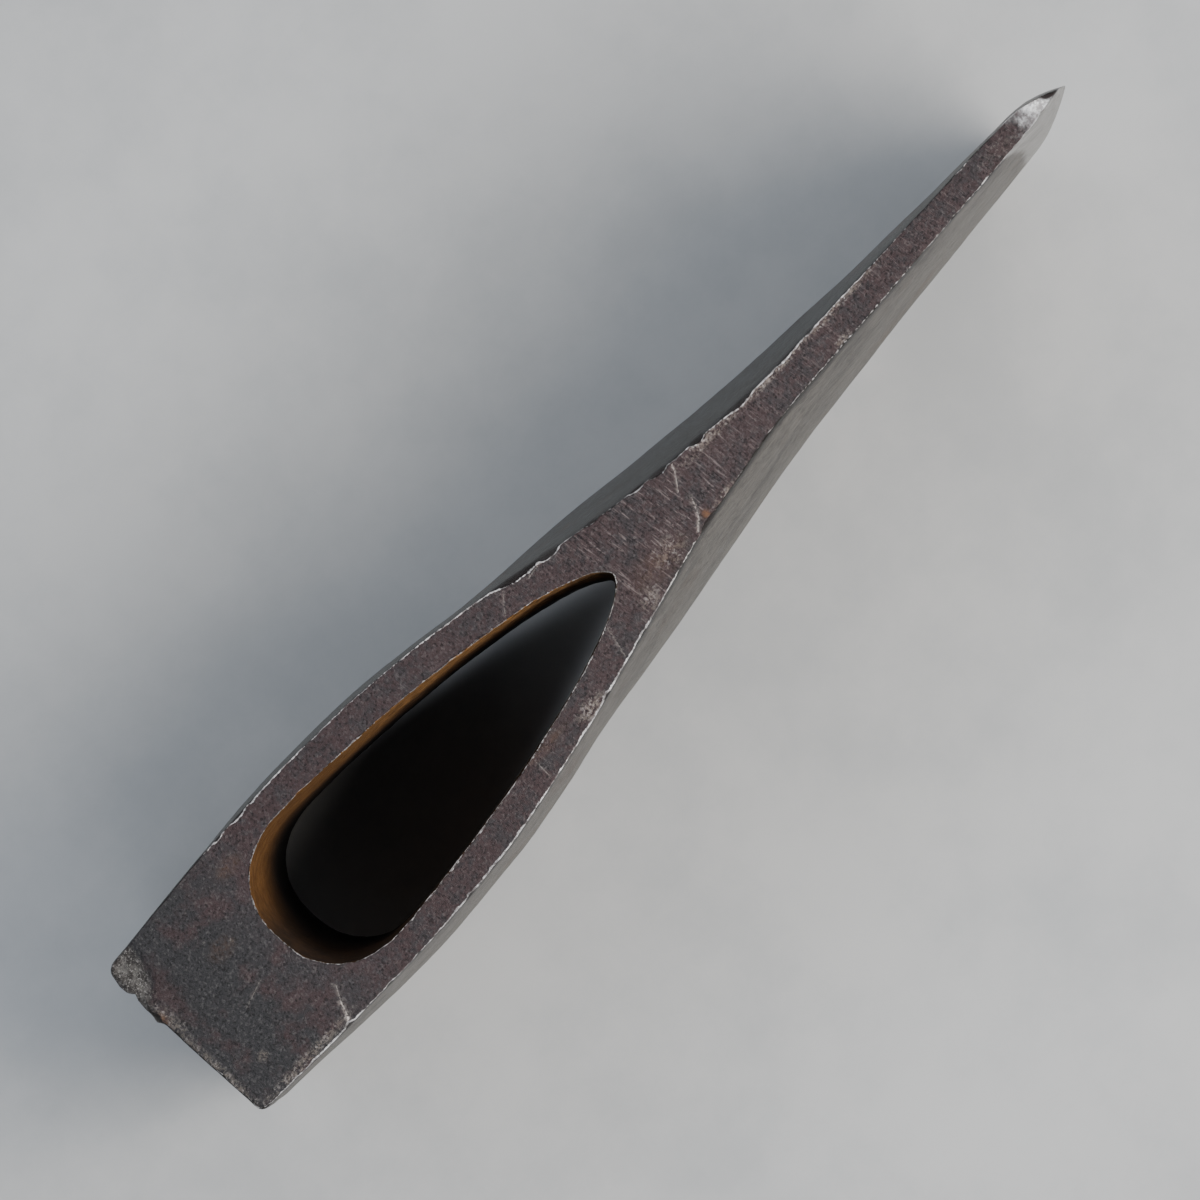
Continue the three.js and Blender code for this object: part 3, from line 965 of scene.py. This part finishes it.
for name, values in surface_values.items():
    layer = mesh.attributes.new(name, "FLOAT", "POINT")
    layer.data.foreach_set("value", values.astype(np.float32))
mesh.validate()

# The dark skin. Where it lies on the narrow faces it is brown and purple over grey, crossed by
# short grinding marks, and grainy at the poll. It has worn through along the rims.
SKIN_BROWN = (0.044, 0.0265, 0.0255)
SKIN_GREY = (0.0325, 0.0265, 0.0265)
SKIN_DARK = (0.008, 0.006, 0.006)
POLL_GREY = (0.026, 0.0245, 0.0245)
MARK_PALE = (0.14, 0.108, 0.1)
SPECK_PALE = (0.24, 0.215, 0.2)
WORN_PALE = (0.26, 0.21, 0.17)
RUST_SPOT = (0.14, 0.062, 0.028)
SCRATCH_PALE = (0.62, 0.54, 0.47)
BARE_DULL = (0.17, 0.15, 0.14)
BARE_BRIGHT = (0.8, 0.76, 0.72)
STAIN_AND_PAINTED_SHADE = (0.014, 0.0105, 0.0095)
BEATEN_TAN = (0.14, 0.127, 0.112)
BEATEN_DARK = (0.045, 0.038, 0.034)
BEATEN_SPECK = (0.32, 0.295, 0.265)
TOE_DULL = (0.3, 0.28, 0.27)
TOE_BRIGHT = (0.84, 0.82, 0.79)

steel = Finish("dark_worn_steel", Specular_IOR_Level=0.25)
rim_gap = steel.attribute("rim_gap")
down = steel.attribute("down")
behind = steel.attribute("behind")
along_head = steel.attribute("along")
on_face = steel.attribute("on_face")
inside = steel.attribute("inside")
scratched = steel.attribute("scratched")
battered_part = steel.attribute("battered")
shine_here = steel.attribute("shine")
dark_here = steel.attribute("dark")
bright_cheek = steel.attribute("bright_cheek")

fine = steel.grain(0.38, detail=4, rough=0.7)
grit = steel.grit(0.34)
small = steel.grain(1.2, detail=5, rough=0.7)
broad = steel.grain(6, detail=4)
at_poll = steel.band(along_head, 12, 30, 1, 0)

mottle = steel.band(steel.plus(steel.times(small, 0.55), steel.times(broad, 0.45)), 0.45, 0.6)
face = steel.over(mottle, SKIN_BROWN, SKIN_GREY)
face = steel.over(steel.times(at_poll, steel.band(broad, 0.36, 0.54)), face, POLL_GREY)

crossing = steel.grain(0.3, detail=4, rough=0.75, stretch=(0.7, 6, 6), turn=(0, 0, 0.1), warp=0.4)
slanting = steel.grain(0.3, detail=3, rough=0.75, stretch=(0.8, 5, 5), turn=(0, 0, -0.5), warp=0.5)
marks = steel.plus(steel.band(crossing, 0.54, 0.72), steel.times(steel.band(slanting, 0.6, 0.76), 0.8))
ground = steel.band(along_head, 20, 96, 0.1, 0.55)
ground = steel.times(ground, steel.band(small, 0.3, 0.6, 0.5, 1))
face = steel.over(steel.times(marks, ground), face, MARK_PALE)
face = steel.over(steel.times(steel.band(crossing, 0.48, 0.34), ground), face, SKIN_DARK)
strokes = steel.grain(0.6, detail=3, rough=0.7, stretch=(0.7, 7, 7), turn=(0, 0, 0.08), warp=0.2)
web_share = steel.times(steel.band(along_head, 84, 93), steel.band(along_head, 106, 124, 1, 0.35))
face = steel.over(steel.times(steel.band(strokes, 0.55, 0.7), web_share), face, MARK_PALE)
face = steel.over(steel.times(steel.band(strokes, 0.44, 0.3), web_share), face, SKIN_DARK)

pale_here = steel.attribute("pale")
speckled = steel.plus(steel.blend(at_poll, 0.13, 0.17), pale_here)
gritty = steel.plus(steel.times(fine, 0.6), steel.times(grit, 0.4))
face = steel.over(steel.times(steel.band(gritty, 0.54, 0.72), speckled), face, SPECK_PALE)
face = steel.over(steel.times(steel.band(gritty, 0.47, 0.3), 0.75), face, SKIN_DARK)
worn_pale = steel.times(pale_here, steel.band(steel.plus(small, fine), 0.9, 1.15))
face = steel.over(steel.times(worn_pale, 0.7), face, WORN_PALE)
rusty_here = steel.times(steel.attribute("rusty"), steel.band(small, 0.35, 0.6))
face = steel.over(rusty_here, face, RUST_SPOT)

# Bare steel at the toe of the top face, stained where the dark skin begins, and kept off the
# painted shade on the toe's bevel
toe_patches = steel.plus(behind, steel.times(steel.grain(1.4, detail=4), 6))
not_dark = steel.band(dark_here, 0.1, 0.6, 1, 0)
at_toe = steel.times(steel.band(toe_patches, 11, 17, 1, 0), not_dark)
toe_steel = steel.over(steel.band(small, 0.4, 0.6), TOE_DULL, TOE_BRIGHT)
face = steel.over(at_toe, face, toe_steel)

# The cheeks: the one that faces away from the light is painted dark and greenish as shade, and the
# other is rubbed to a dull warm grey. Both are stained, flecked and scored, both are darker just
# under the rim, and the bit is honed bare, with painted shade on the bevel away from the light.
# painted shade: the colour of the cheek that faces away from the light
SHADED_CHEEK = (0.062, 0.063, 0.06)
PALE_CHEEK = (0.2, 0.18, 0.153)
RUBBED_CHEEK = (0.118, 0.104, 0.09)
STAIN = (0.045, 0.039, 0.035)
RUST_STAIN = (0.11, 0.06, 0.034)
FLECK = (0.04, 0.033, 0.029)
SCORE_PALE = (0.46, 0.43, 0.4)
SCORES = (  # the lean of each set of lines, how drawn out they are, and how bright
    (0.45, 36, 0.3),
    (-0.3, 60, 0.4),
    (1.25, 30, 0.2),
    (-0.9, 45, 0.3),
)
HONED_DULL = (0.26, 0.245, 0.228)
HONED_BRIGHT = (0.5, 0.48, 0.455)
HONED_SHADED = (0.17, 0.16, 0.15)
DARK_FLAKE = (0.04, 0.03, 0.029)

stains = steel.band(steel.grain(12, detail=8, rough=0.7, stretch=(1.7, 1, 1), warp=0.7), 0.45, 0.68)
rust_stains = steel.band(steel.grain(21, detail=8, rough=0.72), 0.53, 0.68)
flecks = steel.band(steel.grain(1.3, detail=6, rough=0.75), 0.5, 0.62)
rub = steel.grain(0.5, detail=5, rough=0.75, stretch=(8, 1, 1), turn=(0, 0.2, 0))
rubbed = steel.over(steel.band(rub, 0.36, 0.62), PALE_CHEEK, RUBBED_CHEEK)
# The cheek away from the light gets painted shade, and the lit one a rubbed grey
flank = steel.over(bright_cheek, SHADED_CHEEK, rubbed)
flank = steel.over(steel.times(stains, 0.62), flank, STAIN)
flank = steel.over(steel.times(rust_stains, 0.5), flank, RUST_STAIN)
flank = steel.over(steel.times(flecks, 0.55), flank, FLECK)
scored_area = steel.band(steel.grain(16, detail=3), 0.42, 0.62)
for lean, drawn_out, bright in SCORES:
    lines = steel.grain(0.32, detail=1, stretch=(drawn_out, 1, 1), turn=(0, lean, 0))
    score = steel.times(steel.band(lines, 0.71, 0.78), steel.times(scored_area, bright))
    flank = steel.over(score, flank, SCORE_PALE)
# The cheeks are darker just under the rim
under_rim = steel.band(steel.plus(down, steel.times(small, 2)), 1.7, 4, 0.8, 0)
flank = steel.over(under_rim, flank, SKIN_DARK)
bevel_line = steel.plus(behind, steel.times(steel.grain(14, detail=3), 7))
honed = steel.times(steel.band(bevel_line, 14.6, 16.4, 1, 0), not_dark)
hone_lines = steel.grain(0.35, detail=3, stretch=(16, 1, 1), turn=(0, 0.75, 0))
honed_steel = steel.over(steel.band(hone_lines, 0.4, 0.62), HONED_DULL, HONED_BRIGHT)
# The bevel on the side away from the light gets painted shade
honed_steel = steel.over(bright_cheek, HONED_SHADED, honed_steel)
flank = steel.over(steel.times(honed, 0.9), flank, honed_steel)
# The flakes are painted dark
flank = steel.over(steel.times(steel.attribute("flaked"), 0.9), flank, DARK_FLAKE)
colour = steel.over(on_face, flank, face)
# Dark stains, and painted shade on the toe's bevel and beside the poll's rim
colour = steel.over(steel.times(dark_here, 0.8), colour, STAIN_AND_PAINTED_SHADE)

# Rims worn bright in a thin broken line, scratches, and the battered corner
RIM_WEAR = 0.56  # how wide a rim is worn where its share is 1, before the noise takes some of it
rim_noise = steel.plus(steel.times(steel.grain(0.5, detail=6), 0.75), steel.times(steel.grain(2.4), 0.3))
rim_value = steel.sum("SUBTRACT", steel.plus(rim_gap, rim_noise), steel.times(shine_here, RIM_WEAR))
rim_worn = steel.band(rim_value, 0, 0.11, 1, 0)
patches = steel.plus(steel.times(steel.grain(0.7, detail=5), 0.5), steel.times(steel.grain(3), 0.5))
bright_share = steel.times(steel.band(patches, 0.41, 0.58), steel.band(shine_here, 0.2, 1.3))
bare = steel.over(bright_share, BARE_DULL, BARE_BRIGHT)
colour = steel.over(steel.times(rim_worn, 0.9), colour, bare)
scratch_line = steel.times(scratched, steel.band(fine, 0.36, 0.56))
colour = steel.over(scratch_line, colour, SCRATCH_PALE)
beaten = steel.over(steel.band(small, 0.4, 0.56), BEATEN_TAN, BEATEN_DARK)
beaten = steel.over(steel.band(fine, 0.52, 0.66), beaten, BEATEN_SPECK)
beaten_share = steel.times(battered_part, steel.band(steel.plus(battered_part, small), 0.6, 1.1))
colour = steel.over(beaten_share, colour, beaten)

# Rust inside the eye, with painted shade: darker on the wall that faces away from the light, and
# black deeper down, where little light reaches
RUST_BROWN = (0.105, 0.044, 0.01)
SHADED_RUST = (0.022, 0.011, 0.005)
RUST_ORANGE = (0.42, 0.2, 0.06)
EYE_DEPTH_SHADE = (0.024, 0.02, 0.018)
sideways = steel.attribute("sideways")
orange_side = steel.times(steel.band(along_head, 38, 62), steel.band(sideways, 0, 3))
rust_patches = steel.band(steel.grain(1.8, detail=7, rough=0.75), 0.38, 0.68)
orange = steel.times(steel.blend(orange_side, steel.band(sideways, 0, 9, 0.08, 0.3), 0.9), rust_patches)
# painted shade: the rust is darker on the wall that faces away from the light
rust_and_shade = steel.over(steel.band(sideways, -1, 8), SHADED_RUST, RUST_BROWN)
rust_and_shade = steel.over(orange, rust_and_shade, RUST_ORANGE)
# painted shade: black deeper down the eye
rust_and_shade = steel.over(steel.band(steel.plus(down, steel.times(small, 8)), 22, 58), rust_and_shade, EYE_DEPTH_SHADE)
rust_and_shade = steel.over(rim_worn, rust_and_shade, bare)
colour = steel.over(inside, colour, rust_and_shade)
steel.put(steel.shader.inputs["Base Color"], colour)

# How metallic and how smooth each of these is
shiny = steel.sum("MAXIMUM", rim_worn, steel.sum("MAXIMUM", scratch_line, steel.times(at_toe, on_face)))
not_face = steel.sum("SUBTRACT", 1, on_face)
shiny = steel.sum("MAXIMUM", shiny, steel.times(honed, not_face))
rust_share = steel.times(inside, steel.sum("SUBTRACT", 1, rim_worn))
metal = steel.blend(shiny, steel.blend(not_face, 0.3, 0.78), 0.6)
metal = steel.blend(beaten_share, metal, 0.35)
steel.put(steel.shader.inputs["Metallic"], steel.blend(rust_share, metal, 0))
matt = steel.plus(steel.times(small, 0.2), steel.blend(not_face, 0.3, 0.33))
matt = steel.blend(shiny, matt, 0.4)
matt = steel.blend(beaten_share, matt, 0.7)
steel.put(steel.shader.inputs["Roughness"], steel.blend(rust_share, matt, 0.88))

# Relief finer than the mesh, in millimetres
grainy = steel.times(fine, steel.blend(at_poll, 0.1, 0.2))
scored = steel.times(steel.times(crossing, ground), 0.12)
relief = steel.plus(grainy, scored)
relief = steel.plus(relief, steel.times(steel.times(battered_part, small), 0.5))
relief = steel.plus(relief, steel.times(steel.times(inside, small), 0.4))
relief = steel.plus(relief, steel.times(steel.times(not_face, steel.grain(1.8, detail=5)), 0.08))
steel.relief(relief)


# Hammer dents and rust pits cover the whole forging, so one tree of nodes raises and sinks the
# surface along its normals
DENT_DEPTH = 0.3
DENT_SIZE = 16
PIT_DEPTH = 0.1
PIT_SIZE = 1.7
CHEEK_PITS = 0.6  # the share of the pits' depth on the cheeks, and what the other places add to it
BATTERED_PITS = 2
FACE_PITS = -0.5
RELIEF_SEED = 5

tree = bpy.data.node_groups.new("forged_skin", "GeometryNodeTree")
tree.is_modifier = True
inputs = {}
for name, kind in (
    ("Geometry", "NodeSocketGeometry"),
    ("Dent Depth", "NodeSocketFloat"),
    ("Dent Size", "NodeSocketFloat"),
    ("Pit Depth", "NodeSocketFloat"),
    ("Pit Size", "NodeSocketFloat"),
    ("Seed", "NodeSocketFloat"),
    ("Steel", "NodeSocketMaterial"),
):
    inputs[name] = tree.interface.new_socket(name, in_out="INPUT", socket_type=kind).identifier
tree.interface.new_socket("Geometry", in_out="OUTPUT", socket_type="NodeSocketGeometry")
given = tree.nodes.new("NodeGroupInput").outputs
result = tree.nodes.new("NodeGroupOutput").inputs["Geometry"]


def step(kind, *values, **named):
    """One node of the tree, with its sockets joined or set in order or by name."""
    node = tree.nodes.new(kind)
    for socket, value in [*zip(node.inputs, values), *((node.inputs[name], named[name]) for name in named)]:
        if isinstance(value, bpy.types.NodeSocket):
            tree.links.new(value, socket)
        else:
            socket.default_value = value
    return node


def worked(operation, *values):
    """The result of one sum."""
    node = step("ShaderNodeMath", *values)
    node.operation = operation
    return node.outputs[0]


def uneven(depth, size, detail):
    """Noise of that size, as a rise or a fall of up to that depth."""
    field = step("ShaderNodeTexNoise", Scale=worked("DIVIDE", 1, size), Detail=detail)
    field.noise_dimensions = "4D"
    tree.links.new(given["Seed"], field.inputs["W"])
    return worked("MULTIPLY", worked("MULTIPLY_ADD", field.outputs["Fac"], 2, -1), depth)


def share_of(name):
    return step("GeometryNodeInputNamedAttribute", Name=name).outputs["Attribute"]


off_face = worked("SUBTRACT", 1, share_of("on_face"))
dents = worked("MULTIPLY", uneven(given["Dent Depth"], given["Dent Size"], 1), off_face)
rough_places = worked("MULTIPLY_ADD", share_of("battered"), BATTERED_PITS, CHEEK_PITS)
rough_places = worked("ADD", rough_places, share_of("inside"))
rough_places = worked("MULTIPLY_ADD", share_of("on_face"), FACE_PITS, rough_places)
pits = worked("MULTIPLY", uneven(given["Pit Depth"], given["Pit Size"], 3), rough_places)
offset = tree.nodes.new("ShaderNodeVectorMath")
offset.operation = "SCALE"
tree.links.new(tree.nodes.new("GeometryNodeInputNormal").outputs["Normal"], offset.inputs[0])
tree.links.new(worked("ADD", dents, pits), offset.inputs["Scale"])
moved = step("GeometryNodeSetPosition", Geometry=given["Geometry"], Offset=offset.outputs[0])
whole = step("GeometryNodeRealizeInstances", Geometry=moved.outputs[0])
finished = step("GeometryNodeSetMaterial", Geometry=whole.outputs[0], Material=given["Steel"])
tree.links.new(finished.outputs[0], result)

blank = bpy.data.objects.new("forged_shape", mesh)
bpy.context.scene.collection.objects.link(blank)
forging = blank.modifiers.new("forged_skin", "NODES")
forging.node_group = tree
for name, value in (
    ("Dent Depth", DENT_DEPTH * MM),
    ("Dent Size", DENT_SIZE * MM),
    ("Pit Depth", PIT_DEPTH * MM),
    ("Pit Size", PIT_SIZE * MM),
    ("Seed", RELIEF_SEED),
    ("Steel", steel.material),
):
    forging[inputs[name]] = value
evaluated = blank.evaluated_get(bpy.context.evaluated_depsgraph_get())
forged = bpy.data.meshes.new_from_object(evaluated)
forged.name = "axe_head_steel"
forged.shade_smooth()
bpy.data.objects.remove(blank)
axe_head = bpy.data.objects.new("axe_head_steel", forged)
bpy.context.scene.collection.objects.link(axe_head)

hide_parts("axe_head")
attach(axe_head, "root")
